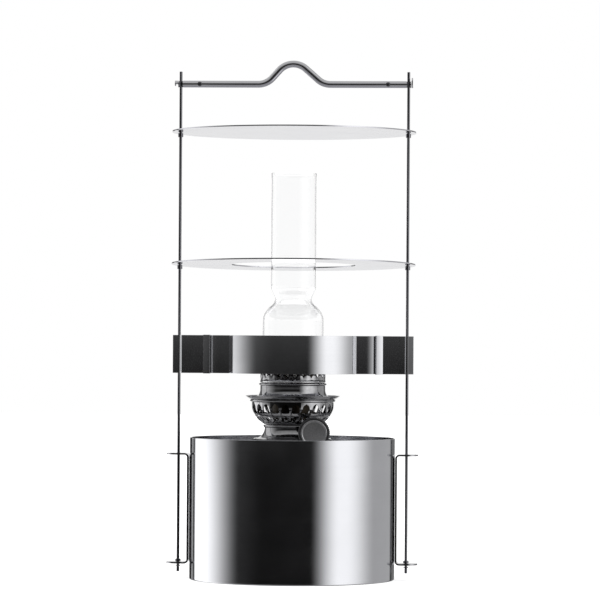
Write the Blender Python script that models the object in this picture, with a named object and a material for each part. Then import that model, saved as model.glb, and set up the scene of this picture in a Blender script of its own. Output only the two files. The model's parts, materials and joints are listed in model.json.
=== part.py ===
"""Open hanging oil lamp, modelled as an assembly of its real pieces.

Frame: +Z up, -Y the front where the wick knob is, X along the line through the two rods. The origin is the
centre of the tank's underside. Dimensions below are in millimetres and become metres when a mesh is made.
"""
import math

import bmesh
import bpy
from mathutils import Vector

MM = 0.001
GAP = 0.3                  # clearance between touching pieces
SIDES = ((-1, "left"), (1, "right"))
SHARP_ANGLE = 40           # degrees, above which an edge is shaded sharp

# Facets round a full turn
WIDE_STEPS = 48            # tank and discs
MID_STEPS = 30             # burner shells
TUBE_STEPS = 24            # wick tubes and small rings
FINE_STEPS = 10            # rods, pins and holes
PATTERN_STEPS = 48         # pierced sheets, two for each window

# Tank
TANK_R = 84.6
TANK_WALL = 1.0
TANK_HEIGHT = 116.3
TANK_EDGE_R = 1.6
LID_TOP = 104.0
LID_THICK = 1.0
LID_SKIRT = 7.0
LID_SKIRT_THICK = 0.8

# Uprights
ROD_R = 1.2
ROD_X = 94.0
ROD_BOTTOM = 5.4
ROD_TOP = 417.8
ROD_HOLE_R = 1.6
ROD_CHAMFER = 0.4
ROD_NECK_R = 0.8
CLIP_R = 2.1
CLIP_THICK = 0.8
COLLAR_R = 2.3
COLLAR_THICK = 1.8
BRACKET_THICK = 1.4
BRACKET_WIDTH = 19.0
BRACKET_BEND_R = 3.4
BRACKET_LOW = 13.0
BRACKET_HIGH = 102.5

# Carrying bar
BAR_Z = 407.5
BAR_R = 2.9
BAR_BORE_R = 2.1
BAR_END = 96.2
NOTCH_HALF = 1.6           # the tube's front is cut away this far about each rod
HUMP_X = -1.1
HUMP_RISE = 16.75
HUMP_BEND_R = 15.5
HUMP_ANGLE = {-1: 48.0, 1: 41.5}
PIN_X = {-1: -78.3, 1: 77.1}
PIN_HEAD_R = 1.65
PIN_SHANK_R = 0.7
PLUG_START = 72.0
PLUG_END = 92.0
CAP_THICK = 1.1
CAP_LUG = 2.6
HOOD_LENGTH = 2.4
HOOD_WALL = 0.9
HOOD_SAG = 1.7             # how far the hood's end wall reaches below the bar's axis

# Discs
DISC_R = 100.6
DISC_THICK = 1.0
SHIELD_Z = 367.8
REFLECTOR_Z = 258.9
REFLECTOR_HOLE_R = 51.0
REFLECTOR_TILT = math.radians(-1.6)
STOP_R = 2.1
STOP_HEIGHT = 3.3
STOP_GAP = 0.4

# Shade
BOW_R = 60.2               # outer face of each bowed half
BOW_DEPTH = 44.0           # from the plane of the rods to the front of the bow
FLANK_X = 51.7             # outer face of the straight returns behind each bow
CORNER_R = 1.5
SHADE_WALL = 0.7
SHADE_LOW = 169.0
SHADE_HIGH = 200.3
SHADE_FILLET = 1.5
EAR_STAND = 3.2            # how far each ear stands off the seam at its bend
EAR_MEET = 67.6            # where the two ears close on each other
EAR_TIP = 99.1
SLEEVE_X = 71.0
SLEEVE_PROFILE = ((-3.1, 3.7), (-2.3, 4.0), (3.1, 1.5))   # along X from its middle, half thickness

# Burner
NECK_BORE_R = 19.3
NECK_TUBE_R = 20.7
NECK_FLANGE_R = 27.0
NECK_BOSS_R = 23.5
NECK_LOW = 97.0
GASKET_THICK = 1.2
SPIGOT_R = 19.0
SPIGOT_LOW = 99.0
BASE_FLOOR = 111.8
BASE_R = 32.0
BASE_FLARE = (32.2, 124.6)
BASE_FLARE_R = 9.2
WICK_TUBE_R = 17.2
WICK_R = 16.2
WICK_LOW = 22.0
DRAUGHT_TUBE_R = 14.3
TUBE_WALL = 0.6
TUBE_TOP = 184.0
GALLERY_LEDGE = 156.5
CHIMNEY_WALL = 1.2
CHIMNEY_TOP = 334.0
CHIMNEY_FOOT_R = 24.9
CHIMNEY_TUBE_R = 18.4

# Wick winder
WINDER_X = 19.4
WINDER_Z = 121.0
SPROCKET_R = 2.6
SHAFT_R = 1.0
SHAFT_BACK = 3.0
SPROCKET_HALF = 1.4
NUT_R = 3.0
NUT_BACK = 19.8
NUT_FRONT = 25.0
KNOB_R = 13.0
KNOB_BACK = 31.8           # distances forward of the lamp's axis
KNOB_FRONT = 38.0
KNOB_SEAT_R = 11.0
KNOB_SEAT_DEPTH = 1.2

FINISHES = {
    "brushed_steel": ((0.62, 0.62, 0.63), 0.28, 1.0),
    "bright_steel": ((0.72, 0.72, 0.73), 0.16, 1.0),
    "chrome": ((0.80, 0.80, 0.82), 0.07, 1.0),
    "dark_plastic": ((0.02, 0.02, 0.022), 0.38, 0.0),
    "grey_metal": ((0.33, 0.33, 0.34), 0.42, 1.0),
    "brass": ((0.72, 0.54, 0.26), 0.30, 1.0),
    "rubber": ((0.03, 0.03, 0.03), 0.80, 0.0),
    "cotton": ((0.82, 0.79, 0.72), 0.95, 0.0),
    "glass": ((0.92, 0.95, 0.96), 0.03, 0.0),
}


# ------------------------------------------------------------------ helpers

def clear_objects():
    for old in list(bpy.data.objects):
        bpy.data.objects.remove(old, do_unlink=True)


def finish_material(name, finish):
    colour, roughness, metallic = FINISHES[finish]
    material = bpy.data.materials.new(name)
    material.use_nodes = True
    shader = material.node_tree.nodes["Principled BSDF"]
    shader.inputs["Base Color"].default_value = (*colour, 1.0)
    shader.inputs["Roughness"].default_value = roughness
    shader.inputs["Metallic"].default_value = metallic
    if finish == "glass":
        shader.inputs["Transmission Weight"].default_value = 1.0
    return material


def add_object(name, bm, finish, parent=None, smooth=SHARP_ANGLE):
    """Turn a millimetre bmesh into a metre object with its own material."""
    bmesh.ops.remove_doubles(bm, verts=bm.verts[:], dist=1e-5)
    bmesh.ops.recalc_face_normals(bm, faces=bm.faces[:])
    bmesh.ops.scale(bm, vec=(MM, MM, MM), verts=bm.verts[:])
    mesh = bpy.data.meshes.new(name)
    bm.to_mesh(mesh)
    bm.free()
    mesh.shade_smooth()
    mesh.set_sharp_from_angle(angle=math.radians(smooth))
    piece = bpy.data.objects.new(name, mesh)
    bpy.context.collection.objects.link(piece)
    mesh.materials.append(finish_material(name, finish))
    piece.parent = parent
    return piece


def turned_bmesh(outline, steps, closed=True):
    """Spin an outline of (radius, height) points about the vertical axis."""
    bm = bmesh.new()
    points = [bm.verts.new((radius, 0.0, height)) for radius, height in outline]
    pairs = list(zip(points, points[1:]))
    if closed:
        pairs.append((points[-1], points[0]))
    edges = [bm.edges.new(pair) for pair in pairs]
    bmesh.ops.spin(
        bm, geom=points + edges, axis=(0, 0, 1), cent=(0, 0, 0), angle=2 * math.pi, steps=steps,
        use_merge=True,
    )
    bmesh.ops.remove_doubles(bm, verts=bm.verts[:], dist=1e-4)
    return bm


def turned(name, outline, finish, steps=MID_STEPS, at=(0, 0, 0), closed=True, along=None, parent=None):
    """A turned piece. Its axis is vertical, or lies along the vector given."""
    bm = turned_bmesh(outline, steps, closed)
    if along is not None:
        turn = Vector((0, 0, 1)).rotation_difference(Vector(along))
        bmesh.ops.rotate(bm, verts=bm.verts[:], cent=(0, 0, 0), matrix=turn.to_matrix())
    bmesh.ops.translate(bm, verts=bm.verts[:], vec=at)
    return add_object(name, bm, finish, parent)


def ring_outline(inner, outer, low, high):
    return [(outer, low), (outer, high), (inner, high), (inner, low)]


def arc(centre, radius, start, end, steps):
    """Points along an arc, angles in degrees."""
    points = []
    for i in range(steps + 1):
        angle = math.radians(start + (end - start) * i / steps)
        points.append((centre[0] + radius * math.cos(angle), centre[1] + radius * math.sin(angle)))
    return points


def strip_bmesh(path, thickness, low, high, to_point):
    """A strip of constant thickness to the left of a flat path, extruded from low to high."""
    bm = bmesh.new()
    inner, outer = [], []
    for i, here in enumerate(path):
        before = Vector(path[max(i - 1, 0)])
        after = Vector(path[min(i + 1, len(path) - 1)])
        here = Vector(here)
        first = (here - before).normalized() if i else (after - here).normalized()
        second = (after - here).normalized() if i < len(path) - 1 else first
        mean = (first + second).normalized()
        reach = thickness / max(mean.dot(first), 0.5)
        inner.append(here)
        outer.append(here + Vector((-mean.y, mean.x)) * reach)
    rings = []
    for a, b in zip(inner, outer):
        rings.append([bm.verts.new(to_point(p, h)) for p, h in ((a, low), (b, low), (b, high), (a, high))])
    for ring, following in zip(rings, rings[1:]):
        for k in range(4):
            bm.faces.new((ring[k], ring[(k + 1) % 4], following[(k + 1) % 4], following[k]))
    bm.faces.new(rings[0])
    bm.faces.new(list(reversed(rings[-1])))
    return bm


def cutter(name, bm):
    """A hidden tool solid for a Boolean."""
    tool = add_object(name, bm, "grey_metal")
    tool.hide_render = True
    tool.display_type = "WIRE"
    return tool


def rod_tool(name, radius, start, end, steps=FINE_STEPS):
    """A round cutting tool between two points."""
    start, end = Vector(start), Vector(end)
    length = (end - start).length
    bm = turned_bmesh([(0, 0), (radius, 0), (radius, length), (0, length)], steps, closed=False)
    turn = Vector((0, 0, 1)).rotation_difference(end - start)
    bmesh.ops.rotate(bm, verts=bm.verts[:], cent=(0, 0, 0), matrix=turn.to_matrix())
    bmesh.ops.translate(bm, verts=bm.verts[:], vec=start)
    return cutter(name, bm)


def boolean(piece, tool, operation="DIFFERENCE"):
    cut = piece.modifiers.new(tool.name, "BOOLEAN")
    cut.operation = operation
    cut.solver = "EXACT"
    cut.object = tool


def joint_empty(name, at):
    empty = bpy.data.objects.new(name, None)
    empty.location = Vector(at) * MM
    bpy.context.collection.objects.link(empty)
    return empty


# ------------------------------------------------------------------ tank

def make_tank():
    outer_edge = arc((TANK_R - TANK_EDGE_R, TANK_EDGE_R), TANK_EDGE_R, -90, 0, 3)
    inner_edge_r = TANK_EDGE_R - TANK_WALL
    inner_edge = arc((TANK_R - TANK_EDGE_R, TANK_EDGE_R), inner_edge_r, 0, -90, 3)
    outline = [(0, 0)] + outer_edge
    outline += [(TANK_R, TANK_HEIGHT), (TANK_R - TANK_WALL, TANK_HEIGHT)]
    outline += inner_edge + [(0, TANK_WALL)]
    turned("tank_shell", outline, "brushed_steel", steps=WIDE_STEPS, closed=False)

    lid_r = TANK_R - TANK_WALL - GAP
    low = LID_TOP - LID_THICK
    hole_r = NECK_TUBE_R + GAP
    skirt_r = lid_r - LID_SKIRT_THICK
    lid = [(hole_r, LID_TOP), (hole_r, low), (skirt_r, low), (skirt_r, LID_TOP - LID_SKIRT)]
    lid += [(lid_r, LID_TOP - LID_SKIRT), (lid_r, LID_TOP)]
    turned("reservoir_lid", lid, "brushed_steel", steps=WIDE_STEPS)


def make_neck():
    flange_low = LID_TOP + GAP
    top = BASE_FLOOR - 2 * GAP - GASKET_THICK
    flange_high = flange_low + 1.6
    collar = [(NECK_BORE_R, NECK_LOW), (NECK_TUBE_R, NECK_LOW), (NECK_TUBE_R, flange_low)]
    collar += [(NECK_FLANGE_R, flange_low), (NECK_FLANGE_R, flange_high), (NECK_BOSS_R, flange_high + 0.6)]
    collar += [(NECK_BOSS_R, top), (NECK_BORE_R, top)]
    turned("neck_collar", collar, "bright_steel", steps=TUBE_STEPS)
    gasket_low = top + GAP
    gasket = ring_outline(NECK_BORE_R + GAP, NECK_BOSS_R - GAP, gasket_low, gasket_low + GASKET_THICK)
    turned("collar_gasket", gasket, "rubber", steps=TUBE_STEPS)


# ------------------------------------------------------------------ uprights

def bracket_path():
    """Centre-plane path of the bent strip in (distance from axis, height), lower tab to upper tab."""
    web = TANK_R + GAP
    tip = ROD_X + BRACKET_WIDTH
    low = BRACKET_LOW - BRACKET_THICK / 2
    high = BRACKET_HIGH + BRACKET_THICK / 2
    bend = BRACKET_BEND_R
    path = [(tip, low)]
    path += arc((web + bend, low + bend), bend, 270, 180, 3)
    path += arc((web + bend, high - bend), bend, 180, 90, 3)
    path.append((tip, high))
    return path


def tab_plan_tool(name, side):
    """Plan outline that trims the strip's sides and rounds its two tabs."""
    half = BRACKET_WIDTH / 2
    inside = TANK_R - 5
    outline = [(inside, half), (inside, -half)] + arc((ROD_X, 0), half, -90, 90, 12)
    bm = bmesh.new()
    rim = [bm.verts.new((side * x, y, 0.0)) for x, y in outline]
    face = bm.faces.new(rim)
    raised = bmesh.ops.extrude_face_region(bm, geom=[face])
    top = [item for item in raised["geom"] if isinstance(item, bmesh.types.BMVert)]
    bmesh.ops.translate(bm, verts=top, vec=(0, 0, TANK_HEIGHT))
    return cutter(name, bm)


def make_bracket(side, label):
    path = bracket_path()
    spread = BRACKET_WIDTH / 2 + 3

    def place(point, across):
        return (side * point.x, across, point.y)

    bm = strip_bmesh(list(reversed(path)), BRACKET_THICK, -spread, spread, place)
    bracket = add_object(f"bracket_{label}", bm, "brushed_steel")
    boolean(bracket, tab_plan_tool(f"tool_plan_{label}", side), "INTERSECT")
    hole = rod_tool(f"tool_hole_{label}", ROD_HOLE_R, (side * ROD_X, 0, 0), (side * ROD_X, 0, TANK_HEIGHT))
    boolean(bracket, hole)


def make_rod(side, label):
    groove_top = BRACKET_LOW - BRACKET_THICK / 2 - 1.2
    groove_low = groove_top - CLIP_THICK - 2 * GAP
    outline = [(0, ROD_BOTTOM), (ROD_R - ROD_CHAMFER, ROD_BOTTOM), (ROD_R, ROD_BOTTOM + ROD_CHAMFER)]
    outline += [(ROD_R, groove_low), (ROD_NECK_R, groove_low), (ROD_NECK_R, groove_top), (ROD_R, groove_top)]
    outline += [(ROD_R, ROD_TOP - ROD_CHAMFER), (ROD_R - ROD_CHAMFER, ROD_TOP), (0, ROD_TOP)]
    at = (side * ROD_X, 0, 0)
    turned(f"rod_{label}", outline, "bright_steel", steps=FINE_STEPS, at=at, closed=False)

    clip = ring_outline(ROD_NECK_R + GAP, CLIP_R, groove_low + GAP, groove_top - GAP)
    turned(f"rod_clip_{label}", clip, "bright_steel", steps=FINE_STEPS, at=at)
    collar_low = BRACKET_LOW + BRACKET_THICK / 2 + GAP
    collar = ring_outline(ROD_R + GAP, COLLAR_R, collar_low, collar_low + COLLAR_THICK)
    turned(f"rod_collar_{label}", collar, "bright_steel", steps=FINE_STEPS, at=at)
    for kind, disc_z in (("shield", SHIELD_Z), ("reflector", REFLECTOR_Z)):
        top = disc_z - DISC_THICK / 2 - STOP_GAP
        stop = ring_outline(ROD_R + GAP, STOP_R, top - STOP_HEIGHT, top)
        turned(f"{kind}_stop_{label}", stop, "bright_steel", steps=FINE_STEPS, at=at)


# ------------------------------------------------------------------ carrying bar

def half_bar_path(side):
    """Axis of one half of the bar in (x, z), from the middle of the hump's crown to the bar's end."""
    angle = math.radians(HUMP_ANGLE[side])
    bend_run = HUMP_BEND_R * math.sin(angle)
    bend_rise = HUMP_BEND_R * (1 - math.cos(angle))
    half = 2 * bend_run + (HUMP_RISE - 2 * bend_rise) / math.tan(angle)
    turn = HUMP_ANGLE[side]
    crown = arc((0, BAR_Z + HUMP_RISE - HUMP_BEND_R), HUMP_BEND_R, 90, 90 - turn, 3)
    foot = arc((half, BAR_Z + HUMP_BEND_R), HUMP_BEND_R, 270 - turn, 270, 3)
    return [(HUMP_X + side * x, z) for x, z in crown + foot] + [(side * BAR_END, BAR_Z)]


def notch_tool(name, side):
    """Block that opens the tube's end to the front, so the rod stands in it."""
    front, reach = -BAR_R - 1, BAR_R + 1
    bm = bmesh.new()
    bmesh.ops.create_cube(bm, size=1.0)
    bmesh.ops.scale(bm, vec=(2 * NOTCH_HALF, NOTCH_HALF - front, 2 * reach), verts=bm.verts[:])
    middle = (side * ROD_X, (NOTCH_HALF + front) / 2, BAR_Z)
    bmesh.ops.translate(bm, verts=bm.verts[:], vec=middle)
    return cutter(name, bm)


def make_bar():
    left, right = half_bar_path(-1), half_bar_path(1)
    path = [Vector((x, 0, z)) for x, z in list(reversed(left[1:])) + right]
    sides = 10
    bm = bmesh.new()
    loops = {BAR_R: [], BAR_BORE_R: []}
    for i, here in enumerate(path):
        before, after = path[max(i - 1, 0)], path[min(i + 1, len(path) - 1)]
        forward = (after - before).normalized()
        upward = Vector((-forward.z, 0, forward.x))
        for radius, rings in loops.items():
            ring = []
            for k in range(sides):
                angle = 2 * math.pi * k / sides
                offset = upward * math.cos(angle) + Vector((0, 1, 0)) * math.sin(angle)
                ring.append(bm.verts.new(here + offset * radius))
            rings.append(ring)
    for rings in loops.values():
        for ring, following in zip(rings, rings[1:]):
            for k in range(sides):
                after = (k + 1) % sides
                bm.faces.new((ring[k], ring[after], following[after], following[k]))
    for end in (0, -1):
        outer, inner = loops[BAR_R][end], loops[BAR_BORE_R][end]
        for k in range(sides):
            after = (k + 1) % sides
            bm.faces.new((outer[k], outer[after], inner[after], inner[k]))
    bar = add_object("handle_bar", bm, "bright_steel")
    for side, label in SIDES:
        pin_x = PIN_X[side]
        pin_hole = rod_tool(
            f"tool_bar_pin_{label}", PIN_HEAD_R + 0.2, (pin_x, -5, BAR_Z), (pin_x, 5, BAR_Z)
        )
        boolean(bar, notch_tool(f"tool_bar_rod_{label}", side))
        boolean(bar, pin_hole)


def make_bar_end(side, label):
    """Solid plug in the tube's end, short of the rod, and the rivet that holds it."""
    plug_r = BAR_BORE_R - GAP
    outline = [(0, PLUG_START), (plug_r, PLUG_START), (plug_r, PLUG_END), (0, PLUG_END)]
    plug = turned(
        f"handle_plug_{label}", outline, "bright_steel", steps=FINE_STEPS, at=(0, 0, BAR_Z), closed=False,
        along=(side, 0, 0),
    )
    pin_x = PIN_X[side]
    pin_hole = rod_tool(f"tool_plug_pin_{label}", PIN_SHANK_R + GAP, (pin_x, -5, BAR_Z), (pin_x, 5, BAR_Z))
    boolean(plug, pin_hole)

    head = BAR_R - 0.05
    under = plug_r + 0.25
    rivet = [(0, -head), (PIN_HEAD_R, -head + 0.2), (PIN_HEAD_R, -under), (PIN_SHANK_R, -under)]
    rivet += [(radius, -height) for radius, height in reversed(rivet)]
    turned(
        f"handle_pin_{label}", rivet, "grey_metal", steps=FINE_STEPS, at=(pin_x, 0, BAR_Z), closed=False,
        along=(0, 1, 0),
    )


def end_plate(outline, side, low, high):
    """A flat plate across the bar, from an outline of (y, height above the bar's axis)."""
    bm = bmesh.new()
    foot = [bm.verts.new((side * low, y, BAR_Z + height)) for y, height in outline]
    face = bm.faces.new(foot)
    raised = bmesh.ops.extrude_face_region(bm, geom=[face])
    top = [item for item in raised["geom"] if isinstance(item, bmesh.types.BMVert)]
    bmesh.ops.translate(bm, verts=top, vec=(side * (high - low), 0, 0))
    return bm


def make_caps():
    """The right cap is a plate with a lug that points up. The left cap is a hood with an end wall."""
    low = BAR_END + GAP
    lug = arc((0, 0), BAR_R, 180, 360, 8) + arc((0, CAP_LUG), BAR_R, 0, 180, 8)
    add_object("handle_cap_right", end_plate(lug, 1, low, low + CAP_THICK), "bright_steel")

    end = low + HOOD_LENGTH
    dip = math.degrees(math.asin(HOOD_SAG / BAR_R))
    wall = end_plate(arc((0, 0), BAR_R, -dip, 180 + dip, 10), -1, end - HOOD_WALL, end)
    hood = add_object("handle_cap_left", wall, "bright_steel")
    roof_r = BAR_R - 0.05
    roof = arc((0, 0), roof_r, 0, 180, 8) + arc((0, 0), roof_r - HOOD_WALL, 180, 0, 8)
    tool = cutter("tool_hood_roof", end_plate(roof, -1, low, end - HOOD_WALL / 2))
    boolean(hood, tool, "UNION")


# ------------------------------------------------------------------ discs

def make_disc(name, outline, height, tilt=0.0):
    closed = outline[0][0] > 0
    disc = turned(name, outline, "bright_steel", steps=WIDE_STEPS, closed=closed)
    disc.location = (0, 0, height * MM)
    disc.rotation_euler = (tilt, 0, 0)
    for side, label in SIDES:
        x = side * ROD_X
        tool = rod_tool(f"tool_{name}_{label}", ROD_HOLE_R, (x, 0, height - 6), (x, 0, height + 6))
        boolean(disc, tool)


def make_discs():
    half = DISC_THICK / 2
    shield = [(0, -half), (DISC_R, -half), (DISC_R, half), (0, half)]
    reflector = ring_outline(REFLECTOR_HOLE_R, DISC_R, -half, half)
    make_disc("heat_shield_disc", shield, SHIELD_Z)
    make_disc("reflector_disc", reflector, REFLECTOR_Z, REFLECTOR_TILT)


# ------------------------------------------------------------------ shade

def half_band_path():
    """Inner face of one half band in plan, from its right ear tip to its left, for a band with y >= 0."""
    inner_r = BOW_R - SHADE_WALL
    bow_y = BOW_DEPTH - BOW_R
    seam = GAP / 2
    flank = FLANK_X - SHADE_WALL
    bend_x, bend_y = flank + SHADE_FILLET, seam + EAR_STAND + SHADE_FILLET
    corner_x = flank - CORNER_R
    corner_rise = math.sqrt((inner_r - CORNER_R) ** 2 - corner_x ** 2)
    meet = math.degrees(math.atan2(corner_rise, corner_x))
    right = [(EAR_TIP, seam)]
    right += arc((ROD_X, 0), ROD_R + GAP, 62, 140, 4)
    right += [(ROD_X - 2.4, seam), (ROD_X - 12, seam)]
    closing_steps = 4
    for k in range(closing_steps):
        share = 1 - k / closing_steps
        right.append((bend_x + (EAR_MEET - bend_x) * share, seam + EAR_STAND * (1 - share * share)))
    right += arc((bend_x, bend_y), SHADE_FILLET, 270, 180, 3)
    right += arc((corner_x, bow_y + corner_rise), CORNER_R, 0, meet, 3)
    right += arc((0, bow_y), inner_r, meet + 4, 90, 10)
    left = [(-x, y) for x, y in reversed(right[:-1])]
    return right + left


def make_half_band(name, facing):
    """One half of the shade: a bowed strip whose ears close on the other half's and fold round the rods."""
    path = half_band_path()

    def place(point, height):
        return (point.x, facing * point.y, height)

    bm = strip_bmesh(list(reversed(path)), SHADE_WALL, SHADE_LOW, SHADE_HIGH, place)
    add_object(name, bm, "brushed_steel", smooth=35)


def make_ear_sleeve(side, label):
    """Flat tube pushed over both ears from the tip, with faces that taper outward."""
    slot_y = GAP / 2 + SHADE_WALL + GAP
    slot_low, slot_high = SHADE_LOW - GAP, SHADE_HIGH + GAP
    low, high = slot_low - 0.5, slot_high + 0.5
    inner = [(-slot_y, slot_low), (slot_y, slot_low), (slot_y, slot_high), (-slot_y, slot_high)]
    rings = []
    bm = bmesh.new()
    for along, half in SLEEVE_PROFILE:
        x = side * (SLEEVE_X + along)
        outer = [(-half, low), (half, low), (half, high), (-half, high)]
        rings.append([[bm.verts.new((x, y, z)) for y, z in loop] for loop in (outer, inner)])
    for (outer, inner), (next_outer, next_inner) in zip(rings, rings[1:]):
        for k in range(4):
            after = (k + 1) % 4
            bm.faces.new((outer[k], outer[after], next_outer[after], next_outer[k]))
            bm.faces.new((inner[k], inner[after], next_inner[after], next_inner[k]))
    for outer, inner in (rings[0], rings[-1]):
        for k in range(4):
            after = (k + 1) % 4
            bm.faces.new((outer[k], outer[after], inner[after], inner[k]))
    add_object(f"ear_sleeve_{label}", bm, "brushed_steel", smooth=20)


# ------------------------------------------------------------------ burner

def make_burner_base():
    neck_top = 127.0
    inner_flare_r = BASE_FLARE_R + 0.7
    tube_bore = WICK_TUBE_R + GAP
    outer = [(SPIGOT_R, BASE_FLOOR), (BASE_R, BASE_FLOOR), (BASE_R, BASE_FLOOR + 3.4)]
    outer.append((BASE_R - 0.6, BASE_FLOOR + 4.0))
    outer += arc(BASE_FLARE, BASE_FLARE_R, 248, 180, 4)
    outer += [(23.9, neck_top - 1.7), (24.1, neck_top - 0.9), (23.6, neck_top)]
    inner = [(22.3, neck_top), (22.3, BASE_FLARE[1])]
    inner += arc(BASE_FLARE, inner_flare_r, 180, 246, 4)
    inner += [(BASE_R - 1, BASE_FLOOR + 2.8), (BASE_R - 1, BASE_FLOOR + 1), (tube_bore, BASE_FLOOR + 1)]
    inner += [(tube_bore, SPIGOT_LOW), (SPIGOT_R, SPIGOT_LOW)]
    base = turned("burner_base", outer + inner, "chrome")
    shaft_hole = rod_tool(
        "tool_shaft_hole", SHAFT_R + GAP, (WINDER_X, -30, WINDER_Z), (WINDER_X, -4, WINDER_Z)
    )
    boolean(base, shaft_hole)


def pierced(name, profile, windows, wall):
    """A turned sheet. In each profile row named in windows, every second face is left out, from 0 or 1."""
    bm = bmesh.new()
    columns = []
    for i in range(PATTERN_STEPS):
        angle = 2 * math.pi * i / PATTERN_STEPS
        columns.append([bm.verts.new((r * math.cos(angle), r * math.sin(angle), z)) for r, z in profile])
    for i in range(PATTERN_STEPS):
        here, following = columns[i], columns[(i + 1) % PATTERN_STEPS]
        for row in range(len(profile) - 1):
            if windows.get(row) != i % 2:
                bm.faces.new((here[row], following[row], following[row + 1], here[row + 1]))
    thicken(add_object(name, bm, "chrome"), wall)


def make_basket():
    """Pierced bowl, with one ring of windows low on the curve and one on the upright wall."""
    profile = [(WICK_TUBE_R + GAP, 127.5), (23.6, 127.5), (27.6, 131.0), (30.6, 134.2)]
    profile += [(32.6, 137.6), (33.5, 142.6), (33.8, 145.5)]
    pierced("burner_basket", profile, {2: 0, 4: 1}, 0.9)


def thicken(piece, wall):
    solid = piece.modifiers.new("wall", "SOLIDIFY")
    solid.thickness = wall * MM
    solid.offset = -1.0
    solid.use_even_offset = True


def make_gallery():
    flange = [(33.4, 146.0), (34.9, 146.1), (35.3, 146.8), (34.9, 147.6), (38.7, 150.4), (39.0, 151.0)]
    flange += [(35.2, 149.2), (28.8, 150.9), (27.3, 153.0), (26.8, 155.0), (26.8, 159.2), (27.9, 160.3)]
    flange += [(27.6, 161.4), (25.7, 161.6), (25.7, GALLERY_LEDGE), (22.0, GALLERY_LEDGE)]
    flange += [(22.0, GALLERY_LEDGE - 0.9), (25.5, GALLERY_LEDGE - 0.9), (27.8, 149.9), (34.0, 148.9)]
    turned("gallery_flange", flange, "chrome")

    pierced("gallery_crown", [(27.0, 161.9), (27.0, 165.2), (26.7, 177.6)], {1: 1}, 0.6)


def make_wick_tubes():
    outer_bore = WICK_TUBE_R - TUBE_WALL
    outer = ring_outline(outer_bore, WICK_TUBE_R, SPIGOT_LOW, TUBE_TOP)
    tube = turned("wick_tube_outer", outer, "brass", steps=TUBE_STEPS)
    window = bmesh.new()
    bmesh.ops.create_cube(window, size=1.0)
    half_high, half_wide, reach = SPROCKET_R + 0.9, 2.2, 6.0
    bmesh.ops.scale(window, vec=(reach, 2 * half_wide, 2 * half_high), verts=window.verts[:])
    bmesh.ops.translate(window, verts=window.verts[:], vec=(WICK_TUBE_R, 0, WINDER_Z))
    boolean(tube, cutter("tool_sprocket_window", window))

    draught_bore = DRAUGHT_TUBE_R - TUBE_WALL
    inner = ring_outline(draught_bore, DRAUGHT_TUBE_R, SPIGOT_LOW, TUBE_TOP)
    turned("draught_tube_inner", inner, "brass", steps=TUBE_STEPS)


def make_wick():
    inner = DRAUGHT_TUBE_R + GAP
    turned("wick", ring_outline(inner, WICK_R, WICK_LOW, TUBE_TOP + 1.0), "cotton", steps=TUBE_STEPS)


def make_winder():
    axis = joint_empty("wick_winder_axis", (WINDER_X, 0, WINDER_Z))
    along = (0, -1, 0)
    shaft_front = KNOB_BACK + 3.0
    shaft = [(0, -SHAFT_BACK), (SHAFT_R, -SHAFT_BACK), (SHAFT_R, shaft_front), (0, shaft_front)]
    turned("wick_shaft", shaft, "bright_steel", steps=FINE_STEPS, closed=False, along=along, parent=axis)

    teeth, tooth = 8, 0.7
    bore = SHAFT_R + GAP
    bm = bmesh.new()
    rings = []
    for y in (-SPROCKET_HALF, SPROCKET_HALF):
        outer, inner = [], []
        for k in range(2 * teeth):
            angle = math.pi * k / teeth
            radius = SPROCKET_R if k % 2 == 0 else SPROCKET_R - tooth
            outer.append(bm.verts.new((radius * math.cos(angle), y, radius * math.sin(angle))))
            inner.append(bm.verts.new((bore * math.cos(angle), y, bore * math.sin(angle))))
        rings.append((outer, inner))
    (outer_a, inner_a), (outer_b, inner_b) = rings
    for k in range(2 * teeth):
        after = (k + 1) % (2 * teeth)
        bm.faces.new((outer_a[k], outer_a[after], outer_b[after], outer_b[k]))
        bm.faces.new((inner_a[k], inner_a[after], inner_b[after], inner_b[k]))
        bm.faces.new((outer_a[k], outer_a[after], inner_a[after], inner_a[k]))
        bm.faces.new((outer_b[k], outer_b[after], inner_b[after], inner_b[k]))
    add_object("wick_sprocket", bm, "brass", parent=axis, smooth=20)

    nut_sides = 6
    nut = ring_outline(bore, NUT_R, NUT_BACK, NUT_FRONT)
    turned("shaft_gland_nut", nut, "bright_steel", steps=nut_sides, at=(WINDER_X, 0, WINDER_Z), along=along)

    seat = KNOB_FRONT - KNOB_SEAT_DEPTH
    back_edge, front_edge = 0.6, 0.8
    knob = [(bore, KNOB_BACK), (KNOB_R - back_edge, KNOB_BACK), (KNOB_R, KNOB_BACK + back_edge)]
    knob += [(KNOB_R, KNOB_FRONT - front_edge), (KNOB_R - front_edge, KNOB_FRONT), (KNOB_SEAT_R, KNOB_FRONT)]
    knob += [(KNOB_SEAT_R, seat), (bore, seat)]
    turned("wick_knob", knob, "dark_plastic", steps=TUBE_STEPS, along=along, parent=axis)
    face_r = KNOB_SEAT_R - GAP
    face_low = seat + GAP
    rim_top = KNOB_FRONT + 0.25
    plain_r, plain_top = face_r - 1.4, rim_top - 0.35
    face = [(0, face_low), (face_r, face_low), (face_r, rim_top - 0.15), (face_r - 0.8, rim_top)]
    face += [(plain_r, plain_top), (0, plain_top)]
    turned("knob_face", face, "grey_metal", steps=TUBE_STEPS, closed=False, along=along, parent=axis)


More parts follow.
